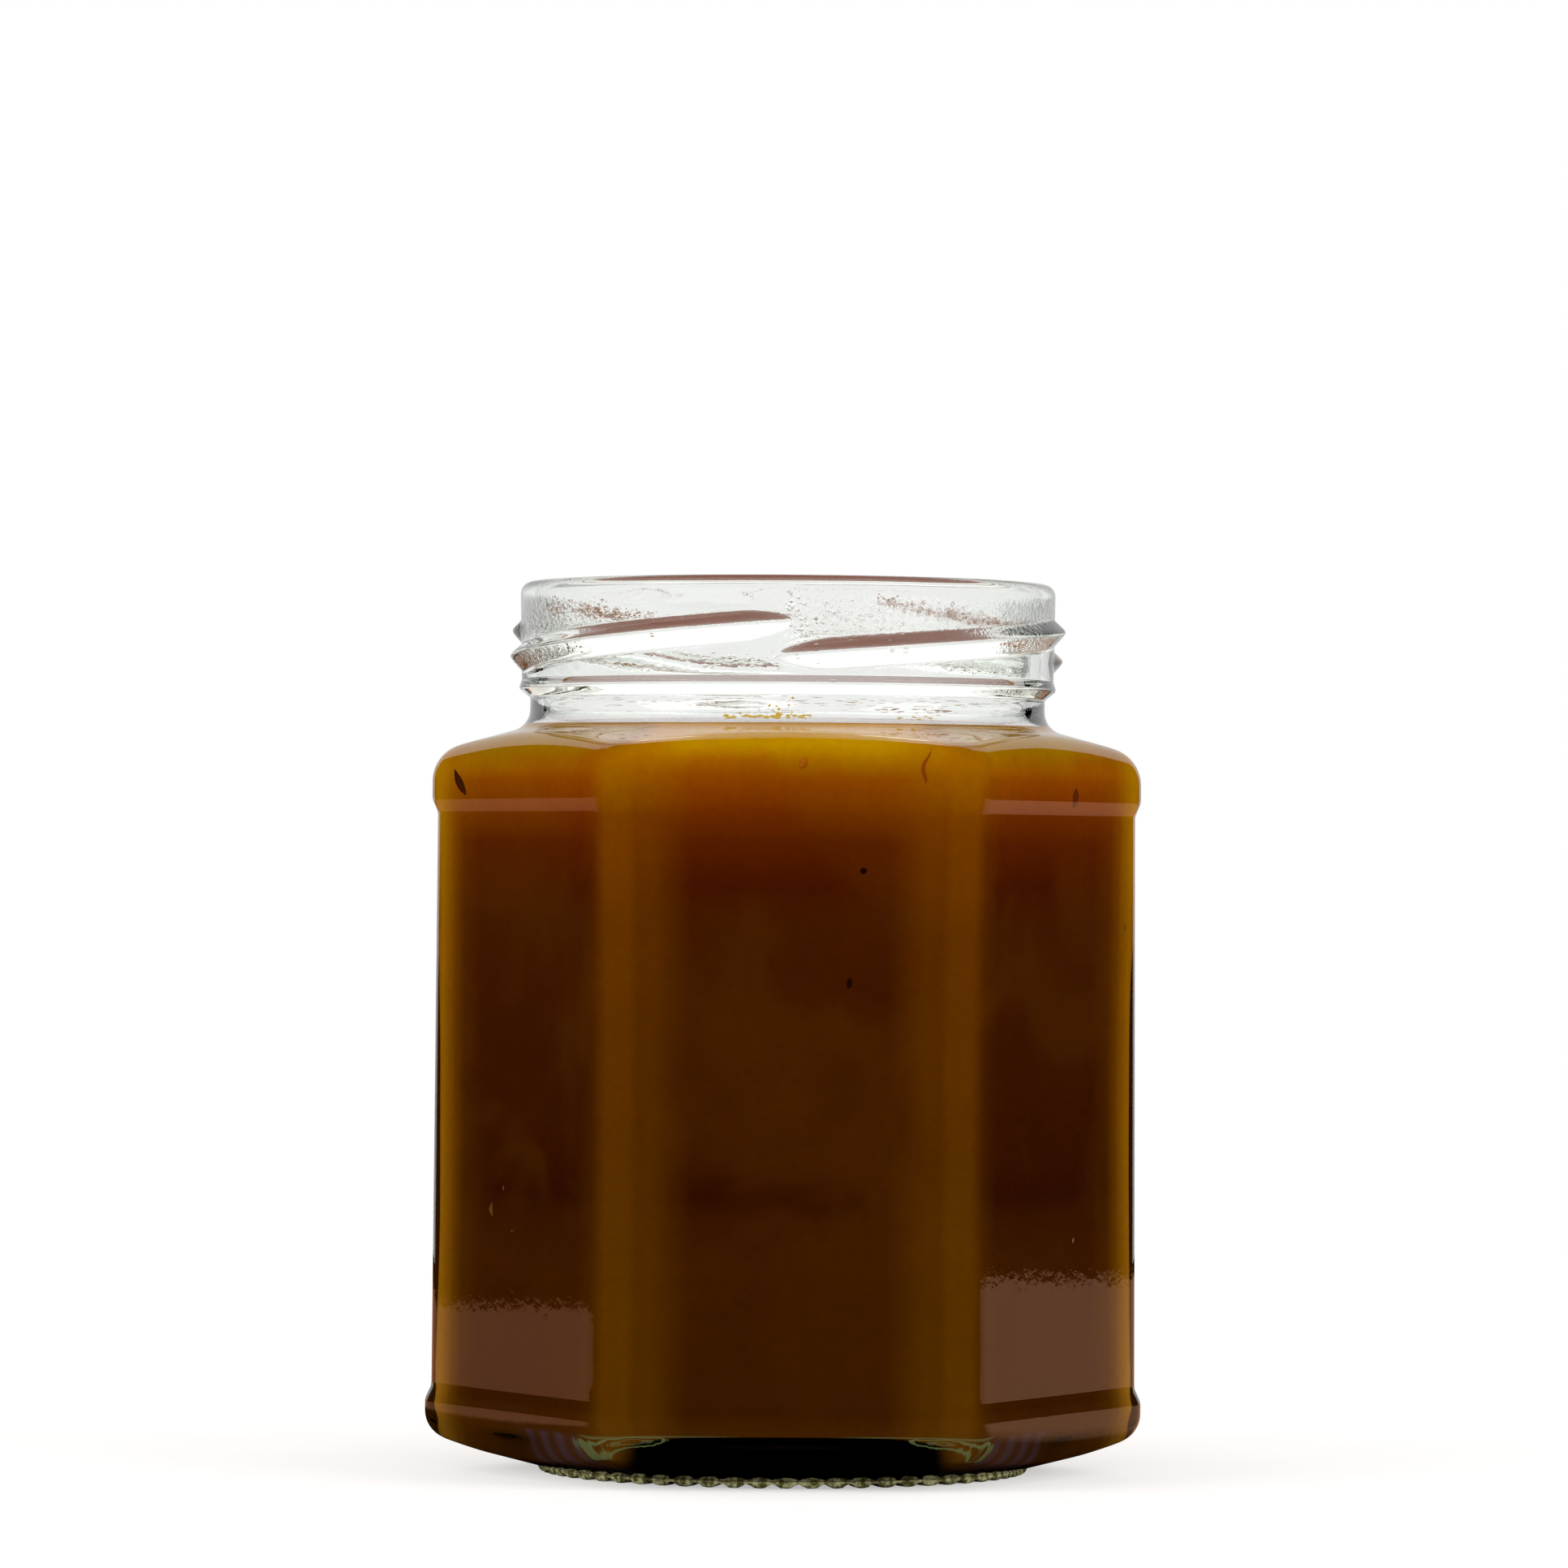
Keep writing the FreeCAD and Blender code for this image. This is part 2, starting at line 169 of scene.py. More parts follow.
def smooth_path(corners):
    """Points along (r, z, fillet, arc_steps, line_steps) corners, with a label for each run.

    Returns an array of (r, z) and, for each point, (run number, share of the way along it),
    where a run is the straight stretch that leaves a corner and arcs count as run -1.
    """
    points = [np.array(corner[:2], float) for corner in corners]
    ends = []
    arcs = []
    for i, (_, _, fillet, arc_steps, _) in enumerate(corners):
        here = points[i]
        if fillet == 0:
            ends.append((here, here))
            arcs.append([])
            continue
        back = points[i - 1] - here
        ahead = points[i + 1] - here
        back /= np.linalg.norm(back)
        ahead /= np.linalg.norm(ahead)
        half = math.acos(np.clip(np.dot(back, ahead), -1, 1)) / 2
        reach = fillet / math.tan(half)
        first = here + back * reach
        last = here + ahead * reach
        middle = (back + ahead) / np.linalg.norm(back + ahead)
        centre = here + middle * fillet / math.sin(half)
        a0 = first - centre
        turn = math.pi - 2 * half
        side = 1.0 if a0[0] * (last - centre)[1] - a0[1] * (last - centre)[0] > 0 else -1.0
        arc = []
        for k in range(1, arc_steps):
            angle = side * turn * k / arc_steps
            c, s = math.cos(angle), math.sin(angle)
            arc.append(centre + np.array([a0[0] * c - a0[1] * s, a0[0] * s + a0[1] * c]))
        ends.append((first, last))
        arcs.append(arc)
    path = []
    runs = []
    for i, corner in enumerate(corners):
        if i > 0 and corner[2] > 0:
            path.append(ends[i][0])
            runs.append((-1, 0.0))
        for point in arcs[i]:
            path.append(point)
            runs.append((-1, 0.0))
        path.append(ends[i][1])
        runs.append((-1, 0.0))
        if i + 1 < len(corners):
            start, stop = ends[i][1], ends[i + 1][0]
            steps = corner[4]
            for k in range(1, steps):
                path.append(start + (stop - start) * k / steps)
                runs.append((i, k / steps))
    return np.array(path), runs


def column_bearings(corner_columns, flat_columns):
    """Bearings in degrees, closer together round the six upright corners."""
    bearings = []
    for side in range(SIDES):
        start = side * SIDE_DEG - CORNER_SHARE_DEG / 2
        for k in range(corner_columns):
            bearings.append(start + CORNER_SHARE_DEG * k / corner_columns)
        start += CORNER_SHARE_DEG
        flat_share = SIDE_DEG - CORNER_SHARE_DEG
        for k in range(flat_columns):
            bearings.append(start + flat_share * k / flat_columns)
    return bearings


def ripple(bearing_deg, z):
    """The slow unevenness of a blown inner wall, in mm."""
    a = math.radians(bearing_deg)
    return RIPPLE * (math.sin(7 * a + z * 0.11) + math.sin(5 * a - z * 0.19 + 1.3)
                     + 0.6 * math.sin(13 * a + z * 0.31 + 0.4))


def lug_height(bearing_deg, z):
    """How far the thread lugs stand out of the mouth's wall at a place on it, in mm."""
    out = 0.0
    for i in range(LUGS):
        along = ((bearing_deg - LUG_FIRST_DEG - 360.0 * i / LUGS) % 360.0) / LUG_SPAN_DEG
        if along > 1:
            continue
        from_end = min(along, 1 - along) * LUG_SPAN_DEG
        swell = math.sin(min(1.0, from_end / LUG_FADE_DEG) * math.pi / 2)
        above = z - LUG_START_Z - LUG_RISE * along - LUG_RIDGE_ABOVE
        half = LUG_UPPER if above > 0 else LUG_LOWER
        half *= LUG_END_SHARE + (1.0 - LUG_END_SHARE) * swell
        top = math.hypot(1.0, LUG_NOSE)
        face = (top - math.hypot(above / half, LUG_NOSE)) / (top - LUG_NOSE)
        soft = 0.5 * (face + math.hypot(face, LUG_EDGE_BLEND) - LUG_EDGE_BLEND)
        out = max(out, LUG_HEIGHT * swell * soft)
    return out


def groove_floor(bearing_deg, radius):
    """Height that the grooves between the knurls' round lobes are cut up to."""
    pitch = 360.0 / KNURLS
    off = abs((bearing_deg % pitch) - pitch / 2)
    across = radius * math.radians(off)
    into = RING_MIDDLE * math.pi / KNURLS - KNURL_LAND / 2 - across
    if into <= 0:
        return 0.0
    into = min(into, KNURL_LOBE_REACH)
    return KNURL_LOBE_RADIUS - math.sqrt(KNURL_LOBE_RADIUS ** 2 - into ** 2)


def inner_apothem(z):
    """The flat inner walls bow smoothly through three heights."""
    total = 0.0
    for i, (zi, apothem) in enumerate(INNER_SECTIONS):
        share = 1.0
        for j, (zj, _) in enumerate(INNER_SECTIONS):
            if j != i:
                share *= (z - zj) / (zi - zj)
        total += apothem * share
    return total


def outer_corners(bearing):
    """Profile of the outside at one bearing, from the punt's middle up to the rim."""
    base = hexagon_radius(bearing, BASE_COLLAR_APOTHEM, CORNER_ROUND)
    low = hexagon_radius(bearing, PANEL_BOTTOM_APOTHEM, CORNER_ROUND)
    high = hexagon_radius(bearing, PANEL_TOP_APOTHEM, CORNER_ROUND)
    collar = hexagon_radius(bearing, BODY_APOTHEM, CORNER_ROUND)
    return [
        (0, PUNT_HEIGHT, 0, 0, 3),
        (PUNT_RADIUS, PUNT_HEIGHT, PUNT_ROUND, 5, 5),
        (RING_INNER_RADIUS, PUNT_EDGE_Z, RING_ROUND, 3, 3),
        (RING_INNER_RADIUS + RING_FLARE, 0, RING_ROUND, 3, 5),
        (RING_OUTER_RADIUS - RING_FLARE, 0, RING_ROUND, 3, 2),
        (RING_OUTER_RADIUS, RING_HEIGHT, RING_TOP_ROUND, 2, 8),
        (base, heel_z(base), HEEL_ROUND, 9, 2),
        (base, BASE_STEP_BOTTOM_Z, STEP_ROUND, 3, 2),
        (low, BASE_STEP_TOP_Z, STEP_ROUND, 3, 12),
        (high, COLLAR_STEP_BOTTOM_Z, STEP_ROUND, 3, 2),
        (collar, COLLAR_STEP_TOP_Z, STEP_ROUND, 3, 2),
        (collar, shoulder_z(collar), SHOULDER_ROUND, 10, 6),
        (NECK_RADIUS, shoulder_z(NECK_RADIUS), NECK_FOOT_ROUND, 7, 3),
        (NECK_RADIUS, NECK_TOP_Z, BEAD_ROUND, 3, 2),
        (BEAD_RADIUS, BEAD_BOTTOM_Z, BEAD_ROUND, 3, 2),
        (BEAD_RADIUS, BEAD_TOP_Z, BEAD_ROUND, 3, 2),
        (THREAD_WALL_RADIUS, BEAD_END_Z, BEAD_ROUND, 3, 42),
        (FINISH_RADIUS, TOTAL_HEIGHT, RIM_OUTER_ROUND, 7, 2),
    ]


# The run of the profile that carries the lugs, from the bead up to the rim.
LUG_RUN = 16


def inner_corners(bearing, swell):
    """Profile of the inside at one bearing, from the bore down to the floor's middle."""
    drop = INNER_SHOULDER_DROP - swell
    floor = FLOOR_Z - swell
    bore = BORE_RADIUS + swell
    low = hexagon_radius(bearing, inner_apothem(floor) + swell, INNER_CORNER_ROUND)
    top = low
    for _ in range(4):
        apothem = inner_apothem(shoulder_z(top, drop)) + swell
        top = hexagon_radius(bearing, apothem, INNER_CORNER_ROUND)
    return [
        (bore, shoulder_z(bore, drop), BORE_FLARE_ROUND, 14, 4),
        (top, shoulder_z(top, drop), INNER_SHOULDER_ROUND, 8, 22),
        (low, floor, FLOOR_ROUND, 8, 3),
        (RING_OUTER_RADIUS, floor, FLOOR_EDGE_ROUND, 4, 3),
        (PUNT_RADIUS, floor + FLOOR_CROWN, PUNT_ROUND, 3, 3),
        (0, floor + FLOOR_CROWN, 0, 0, 0),
    ]


def bow_inner_wall(path, runs, wall_run, bearing):
    """Bends the straight inner wall inward at half height and ripples all of the inside."""
    wall = [k for k, (run, _) in enumerate(runs) if run == wall_run]
    top_z, low_z = path[wall[0], 1], path[wall[-1], 1]
    middle = (top_z + low_z) / 2
    chord = (inner_apothem(top_z) + inner_apothem(low_z)) / 2
    bow = chord - inner_apothem(middle)
    calmer_above = (SHOULDER_Z - 6, SHOULDER_Z + 2)
    for k in range(len(path)):
        r, z = path[k]
        if low_z <= z <= top_z and r > BORE_RADIUS + 2:
            path[k, 0] -= bow * (top_z - z) * (z - low_z) / ((top_z - low_z) / 2) ** 2
        if z > FLOOR_Z + 4 and r > BORE_RADIUS - 1:
            path[k, 0] += ripple(bearing, z) * np.interp(z, calmer_above, (1.0, 0.4))


def grid_mesh(name, columns, bearings):
    """A surface from one profile per bearing, closed round the axis and at both poles."""
    columns = np.array(columns)
    count = columns.shape[0]
    kept = columns.shape[1] - 2
    angles = np.radians(bearings)
    r = columns[:, 1:-1, 0]
    z = columns[:, 1:-1, 1]
    ring = np.stack([r * np.cos(angles)[:, None], r * np.sin(angles)[:, None], z], axis=2)
    a = np.arange(count)[:, None]
    b = (a + 1) % count
    j = np.arange(kept - 1)[None, :]
    quads = np.stack([a * kept + j, b * kept + j, b * kept + j + 1, a * kept + j + 1], axis=2)
    faces = quads.reshape(-1, 4).tolist()
    verts = ring.reshape(-1, 3).tolist()
    for pole, edge in ((0, 0), (-1, kept - 1)):
        tip = len(verts)
        verts.append([0.0, 0.0, float(columns[:, pole, 1].mean())])
        for i in range(count):
            here, there = i * kept + edge, ((i + 1) % count) * kept + edge
            faces.append([tip, there, here] if pole == 0 else [tip, here, there])
    return new_mesh(name, np.array(verts) * MM, faces)


def new_mesh(name, verts, faces):
    """A smooth-shaded mesh object from points in metres."""
    mesh = bpy.data.meshes.new(name)
    mesh.from_pydata([tuple(v) for v in verts], [], faces)
    mesh.update()
    mesh.polygons.foreach_set("use_smooth", [True] * len(mesh.polygons))
    piece = bpy.data.objects.new(name, mesh)
    bpy.context.scene.collection.objects.link(piece)
    return piece


def make_glass():
    """The whole jar as one closed shell."""
    bearings = column_bearings(18, 48)
    columns = []
    for bearing in bearings:
        outer = outer_corners(bearing)
        inner = inner_corners(bearing, 0.0)
        corners = outer + [(BORE_RADIUS, TOTAL_HEIGHT, RIM_INNER_ROUND, 6, 10)] + inner
        path, runs = smooth_path(corners)
        wall_run = len(outer) + 2
        for k, (run, _) in enumerate(runs):
            r, z = path[k]
            if run == LUG_RUN:
                path[k, 0] += lug_height(bearing, z)
            if z < RING_HEIGHT and r > RING_INNER_RADIUS - 1:
                path[k, 1] = max(z, groove_floor(bearing, r))
        start = next(k for k, (run, _) in enumerate(runs) if run == len(outer))
        bow_inner_wall(path[start:], runs[start:], wall_run, bearing)
        columns.append(path)
    return grid_mesh("jar_glass", columns, bearings)


SAUCE_SWELL = 0.15
MENISCUS_RISE = 0.2
MENISCUS_WIDTH = 0.9
SWIRL_ROOM = 0.08
SAUCE_LEVEL = FILL_Z - MENISCUS_RISE - SWIRL_ROOM
SAUCE_TOP_POINTS = 26
SAUCE_RIM_POINTS = 11
SHOULDER_ROWS = 14


def sauce_top_z(bearing_deg, radius, edge):
    """Height of the sauce's free surface: a slow swirl, and a rim that wets the glass."""
    a = math.radians(bearing_deg)
    share = radius / edge
    swirl = (0.04 * math.sin(2 * a + 5 * share) + 0.03 * math.sin(3 * a - 7 * share)) * share
    rim = MENISCUS_RISE * math.exp((radius - edge) / MENISCUS_WIDTH)
    return SAUCE_LEVEL + swirl + rim


def resampled(path, count):
    """The same line with its points at even steps; its first two columns are the place."""
    steps = np.linalg.norm(np.diff(path[:, :2], axis=0), axis=1)
    along = np.concatenate([[0], np.cumsum(steps)])
    spots = np.linspace(0, along[-1], count)
    return np.stack([np.interp(spots, along, column) for column in path.T], axis=1)


def make_sauce():
    """The sauce, just into the glass wall, with its free surface in the mouth."""
    bearings = column_bearings(14, 32)
    columns = []
    for bearing in bearings:
        wall = inner_corners(bearing, SAUCE_SWELL)
        path, runs = smooth_path([(wall[0][0], TOTAL_HEIGHT, 0, 0, 2)] + wall)
        bow_inner_wall(path, runs, 2, bearing)
        wall_top = next(k for k, (run, _) in enumerate(runs) if run == 2)
        edge = np.interp(-FILL_Z, -path[:, 1], path[:, 0])
        level = sauce_top_z(bearing, edge, edge)
        edge = np.interp(-level, -path[:, 1], path[:, 0])
        radii = np.concatenate([
            np.linspace(0, edge - 5.0, SAUCE_TOP_POINTS - SAUCE_RIM_POINTS),
            np.linspace(edge - 4.5, edge, SAUCE_RIM_POINTS)])
        top = [(r, sauce_top_z(bearing, r, edge)) for r in radii]
        round_under = path[:wall_top]
        round_under = round_under[round_under[:, 1] < level - 0.02]
        round_under = resampled(np.vstack([[(edge, level)], round_under]), SHOULDER_ROWS)
        columns.append(np.vstack([np.array(top), round_under[1:], path[wall_top:]]))
    sauce = grid_mesh("sauce_body", columns, bearings)
    sauce.data.materials.append(sauce_material())
    sauce.data.materials.append(sauce_top_material())
    rows = len(columns[0]) - 3
    upright = rows * len(bearings)
    for i, face in enumerate(sauce.data.polygons):
        if i < upright:
            face.material_index = int(i % rows < SAUCE_TOP_POINTS - 2)
        else:
            face.material_index = int(i < upright + len(bearings))
    return sauce


# ================= specks, drops and splashes =================

BLOB_STEPS = 9
BLOB_AROUND = 8
BLOB_BLUNT = 0.02
FROM_FRONT = (-0.06, 1.0)
FROM_AXIS = (0.0, -1.0)


def blob(tree, ray, x, z, path, depth, verts, faces):
    """Adds a smooth closed blob on a wall, to verts in metres and to faces.

    ray is the start and the way along y of the rays that find the wall. path is the blob's
    middle line about (x, z), as steps across, steps up and half widths, all in mm.
    """
    start_y, way = ray
    line = resampled(np.array(path), BLOB_STEPS)
    run = np.gradient(line[:, :2], axis=0)
    run /= np.linalg.norm(run, axis=1)[:, None]
    first = len(verts)
    for k, (across, up, half) in enumerate(line):
        shrink = math.sqrt(max(BLOB_BLUNT, 1.0 - (2.0 * k / (BLOB_STEPS - 1) - 1.0) ** 2))
        for j in range(BLOB_AROUND):
            turn = 2 * math.pi * j / BLOB_AROUND
            off = half * shrink * math.cos(turn)
            start = (
                (x + across - run[k, 1] * off) * MM, start_y, (z + up + run[k, 0] * off) * MM)
            hit, normal, _, _ = tree.ray_cast(start, (0.0, way, 0.0))
            if hit is None:
                del verts[first:]
                return
            if normal.y * way > 0:
                normal = -normal
            lift = depth * shrink * math.sin(turn)
            verts.append(tuple(hit + normal * (lift * MM)))
    last = first + (BLOB_STEPS - 1) * BLOB_AROUND
    for row in range(first, last, BLOB_AROUND):
        for j in range(BLOB_AROUND):
            a, b = row + j, row + (j + 1) % BLOB_AROUND
            faces.append((a, b, b + BLOB_AROUND, a + BLOB_AROUND))
    faces.append(tuple(first + j for j in reversed(range(BLOB_AROUND))))
    faces.append(tuple(last + j for j in range(BLOB_AROUND)))


# Each speck: x, z, its middle line as blob() takes it, its depth, and which material it has.
SEEDS = (
    (-35.0, 75.9, ((-0.75, 1.35, 0.25), (-0.3, 0.3, 0.42), (0.1, -0.5, 0.40),
                   (0.6, -1.3, 0.30)), 0.13, 3),
    (1.3, 77.9, ((0.42, 0.42, 0.30), (0.05, 0.0, 0.42), (-0.4, -0.5, 0.30)), 0.11, 1),
    (30.3, 74.7, ((0.15, 1.0, 0.22), (0.1, 0.2, 0.36), (-0.1, -0.8, 0.24)), 0.12, 2),
    (7.8, 66.5, ((-0.35, 0.0, 0.30), (0.0, 0.0, 0.36), (0.38, 0.05, 0.28)), 0.12, 0),
    (6.4, 54.5, ((0.05, 0.6, 0.22), (0.0, 0.0, 0.30), (-0.1, -0.6, 0.22)), 0.12, 0),
)
THREADS = (
    (14.3, 77.4, ((0.75, 1.75, 0.07), (0.45, 1.1, 0.10), (-0.05, 0.5, 0.15), (-0.25, 0.0, 0.20),
                  (-0.1, -0.55, 0.20), (0.15, -1.05, 0.22), (0.1, -1.55, 0.12)), 0.10, 0),
)
BUBBLES = (
    (-30.9, 29.2, ((0.0, 0.75, 0.13), (-0.15, 0.0, 0.22), (0.02, -0.8, 0.13)), 0.12, 0),
    (-29.6, 31.6, ((0.0, 0.3, 0.09), (0.0, -0.3, 0.10)), 0.10, 0),
    (-28.6, 27.0, ((0.2, 0.1, 0.08), (-0.2, -0.1, 0.08)), 0.08, 0),
    (30.2, 26.2, ((0.05, 0.28, 0.07), (0.0, -0.28, 0.08)), 0.10, 1),
    (36.5, 60.4, ((0.0, 0.35, 0.09), (0.0, -0.35, 0.10)), 0.10, 0),
)


def speck_piece(name, specks, sauce_tree, materials):
    """One piece of blobs on the sauce, laid from the front."""
    verts, faces, kinds = [], [], []
    for x, z, path, depth, kind in specks:
        blob(sauce_tree, FROM_FRONT, x, z, path, depth, verts, faces)
        kinds += [kind] * (len(faces) - len(kinds))
    piece = new_mesh(name, verts, faces)
    for face, kind in zip(piece.data.polygons, kinds):
        face.material_index = kind
    for material in materials:
        piece.data.materials.append(material)
    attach(piece, "root")
    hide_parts("sauce")
    return piece


DROP_LEAN = 0.3
DROP_END_SHARE = 0.6
DROP_DEPTH_SHARE = 0.35

# Each zone is a slanting band in the neck: left x and z, right x and z, spread, smallest and
# largest half width, length over width, count.
SMEARS = (
    (-25.0, 95.3, -14.0, 93.6, 0.45, 0.04, 0.11, 1.5, 420),
    (-21.5, 94.6, -17.5, 93.9, 0.40, 0.04, 0.12, 1.5, 220),
    (9.0, 95.6, 24.0, 93.0, 0.40, 0.04, 0.11, 1.5, 520),
    (16.0, 94.6, 22.0, 93.4, 0.35, 0.04, 0.12, 1.5, 240),
    (8.8, 83.75, 17.0, 83.7, 0.22, 0.05, 0.10, 5.0, 26),
)
DEW = (
    (-0.5, 95.0, 3.0, 92.5, 1.3, 0.06, 0.22, 1.1, 90),
    (3.0, 94.3, 12.0, 92.0, 1.1, 0.05, 0.18, 1.8, 140),
    (-25.5, 93.0, -21.0, 92.4, 0.8, 0.05, 0.16, 1.4, 70),
    (-9.0, 89.0, -1.0, 89.2, 0.5, 0.05, 0.16, 2.2, 60),
    (-24.0, 84.6, 24.0, 84.6, 0.8, 0.04, 0.10, 8.0, 150),
)
SPLASHES = (
    (-7.0, 82.75, 2.6, 82.8, 0.16, 0.06, 0.22, 1.8, 60),
    (-3.4, 83.6, 0.6, 83.8, 0.7, 0.05, 0.16, 1.3, 26),
    (11.0, 82.7, 15.0, 82.75, 0.12, 0.05, 0.15, 2.0, 16),
)


def drops_piece(name, node, zones, glass_tree, material, seed):
    """Small drops on the inside of the neck's front."""
    chance = random.Random(seed)
    verts, faces = [], []
    for left, left_z, right, right_z, spread, small, large, flat, count in zones:
        for _ in range(count):
            share = chance.random()
            x = left + (right - left) * share
            z = left_z + (right_z - left_z) * share + chance.gauss(0.0, spread)
            size = small + (large - small) * chance.random() ** 2
            rise = chance.gauss(0.0, DROP_LEAN) * size
            reach = size * flat
            end = size * DROP_END_SHARE
            path = ((-reach, -rise, end), (0.0, 0.0, size), (reach, rise, end))
            blob(glass_tree, FROM_AXIS, x, z, path, size * DROP_DEPTH_SHARE, verts, faces)
    piece = new_mesh(name, verts, faces)
    piece.data.materials.append(material)
    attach(piece, "root")
    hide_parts(node)
    return piece


# ================= materials =================

GLASS_INDEX = 1.52
SAUCE_INDEX = 1.36
DROP_INDEX = 1.34
WHITE = (1.0, 1.0, 1.0, 1.0)
BLACK = (0.0, 0.0, 0.0, 1.0)
GLASS_TINT = (0.66, 0.84, 0.58, 1.0)
GLASS_DENSITY = 20.0
# Painted shade of the thick glass base, put on the sauce.
BASE_PAINTED_SHADE = (0.0005, 0.0005, 0.0005, 1.0)


def linear(*levels):
    """Screen levels from 0 to 255 as linear colour."""
    out = []
    for level in levels:
        c = level / 255.0
        out.append(c / 12.92 if c <= 0.04045 else ((c + 0.055) / 1.055) ** 2.4)
    return (*out, 1.0)


class Nodes:
    """A small helper that adds and joins shader nodes."""

    def __init__(self, tree):
        self.tree = tree
        tree.nodes.clear()

    def add(self, kind, **settings):
        node = self.tree.nodes.new(kind)
        for key, value in settings.items():
            setattr(node, key, value)
        return node

    def put(self, socket, value):
        if hasattr(value, "links"):
            self.tree.links.new(value, socket)
        else:
            socket.default_value = value

    def math(self, operation, *values):
        node = self.add("ShaderNodeMath", operation=operation)
        for socket, value in zip(node.inputs, values):
            self.put(socket, value)
        return node.outputs[0]

    def share(self, value, low, high, interpolation="LINEAR"):
        """How far a value is from low to high, held between 0 and 1."""
        node = self.add("ShaderNodeMapRange", interpolation_type=interpolation)
        self.put(node.inputs["Value"], value)
        node.inputs["From Min"].default_value = low
        node.inputs["From Max"].default_value = high
        return node.outputs["Result"]

    def smoothstep(self, value, low, high):
        return self.share(value, low, high, "SMOOTHSTEP")

    def near(self, value, centre, outer, inner):
        """1 within inner of the centre, 0 beyond outer of it."""
        away = self.math("ABSOLUTE", self.math("SUBTRACT", value, centre))
        return self.smoothstep(away, outer, inner)

    def length(self, a, b):
        squares = self.math("ADD", self.math("MULTIPLY", a, a), self.math("MULTIPLY", b, b))
        return self.math("SQRT", squares)

    def place(self):
        return self.add("ShaderNodeTexCoord").outputs["Object"]

    def split(self, vector):
        node = self.add("ShaderNodeSeparateXYZ")
        self.put(node.inputs[0], vector)
        return node.outputs[0], node.outputs[1], node.outputs[2]

    def mix(self, factor, a, b, blend="MIX"):
        node = self.add("ShaderNodeMix", data_type="RGBA", blend_type=blend)
        self.put(node.inputs["Factor"], factor)
        self.put(node.inputs[6], a)
        self.put(node.inputs[7], b)
        return node.outputs[2]

    def noise(self, vector, scale, detail=2.0, roughness=0.5, distortion=0.0):
        node = self.add("ShaderNodeTexNoise")
        self.put(node.inputs["Vector"], vector)
        node.inputs["Scale"].default_value = scale
        node.inputs["Detail"].default_value = detail
        node.inputs["Roughness"].default_value = roughness
        node.inputs["Distortion"].default_value = distortion
        return node.outputs["Fac"]

    def ramp(self, value, stops):
        """Colours along a value from 0 to 1, one (place, colour) after another."""
        node = self.add("ShaderNodeValToRGB")
        self.put(node.inputs[0], value)
        elements = node.color_ramp.elements
        low, high = stops[0][0], stops[-1][0]
        while len(elements) < len(stops):
            elements.new(0.5)
        for element, (place, colour) in zip(elements, stops):
            element.position = (place - low) / (high - low)
            element.color = colour
        return node.outputs["Color"]

    def bump(self, height, strength, distance):
        node = self.add("ShaderNodeBump")
        node.inputs["Strength"].default_value = strength
        node.inputs["Distance"].default_value = distance
        self.put(node.inputs["Height"], height)
        return node.outputs["Normal"]

    def shader(self, kind, **values):
        """A shader's output. Inputs are named with _ for each space."""
        node = self.add("ShaderNode" + kind)
        for name, value in values.items():
            self.put(node.inputs[name.replace("_", " ")], value)
        return node.outputs[0]

    def mix_shader(self, factor, a, b):
        node = self.add("ShaderNodeMixShader")
        for socket, value in zip(node.inputs, (factor, a, b)):
            self.put(socket, value)
        return node.outputs[0]

    def finish(self, surface, volume=None, kind="ShaderNodeOutputMaterial"):
        out = self.add(kind)
        self.put(out.inputs["Surface"], surface)
        if volume is not None:
            self.put(out.inputs["Volume"], volume)


def new_material(name):
    material = bpy.data.materials.new(name)
    material.use_nodes = True
    return material, Nodes(material.node_tree)


def sunk_finish(n, colour):
    """Against the glass there is no air in between, and so no gloss of its own."""
    n.finish(n.shader("BsdfPrincipled", Base_Color=colour, Roughness=1.0, Specular_IOR_Level=0.0))


def speck_material(name, colour):
    """Matt colour for what lies in the sauce against the glass."""
    material, n = new_material(name)
    shade = n.math("MULTIPLY_ADD", n.noise(n.place(), 1400.0, 3.0, 0.7), 0.8, 0.6)
    sunk_finish(n, n.mix(1.0, colour, shade, blend="MULTIPLY"))
    return material


def drop_material(name, colour, tint, clear):
    """Wet drops: clear ones bend the light, thin brown ones let a part of it through."""
    material, n = new_material(name)
    wet = n.shader("BsdfPrincipled", Base_Color=colour, Transmission_Weight=clear,
                   Roughness=0.05, IOR=DROP_INDEX)
    n.finish(n.mix_shader(tint, wet, n.shader("BsdfTransparent")))
    return material


